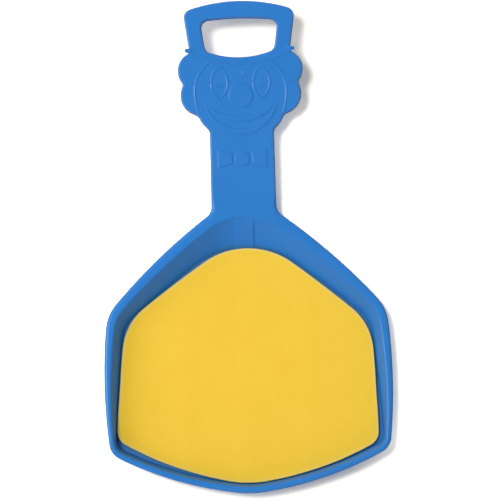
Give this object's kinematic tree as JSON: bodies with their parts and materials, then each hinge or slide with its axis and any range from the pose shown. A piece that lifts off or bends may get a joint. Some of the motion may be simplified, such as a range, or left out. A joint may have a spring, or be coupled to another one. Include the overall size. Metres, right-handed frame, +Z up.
{
  "type": "hand sled",
  "caption": "Child's moulded plastic hand sled: hexagonal bowl-shaped seat with a foam pad, and a flat neck that rises to a hat-shaped grip with a clown face in low relief.",
  "frame": {"origin": "middle of the footprint's bounding box, on the ground", "axes": "+Z up out of the bowl, +Y from the rounded rear of the pan towards the grip, +X to the rider's right when looking along +Y"},
  "size_m": [0.3338, 0.5682, 0.0547],
  "materials": {
    "blue_plastic": "semi-gloss moulded polyethylene, faint flow marks and fine scuffs",
    "yellow_foam": "soft matte closed-cell foam, fine grain, paler cut edge",
    "clear_tape": "thin double-sided tape, milky"
  },
  "bodies": {
    "root": {"shell": "blue_plastic", "seat_pad": "yellow_foam", "tape_left": "clear_tape", "tape_centre": "clear_tape", "tape_right": "clear_tape"}
  },
  "joints": []
}
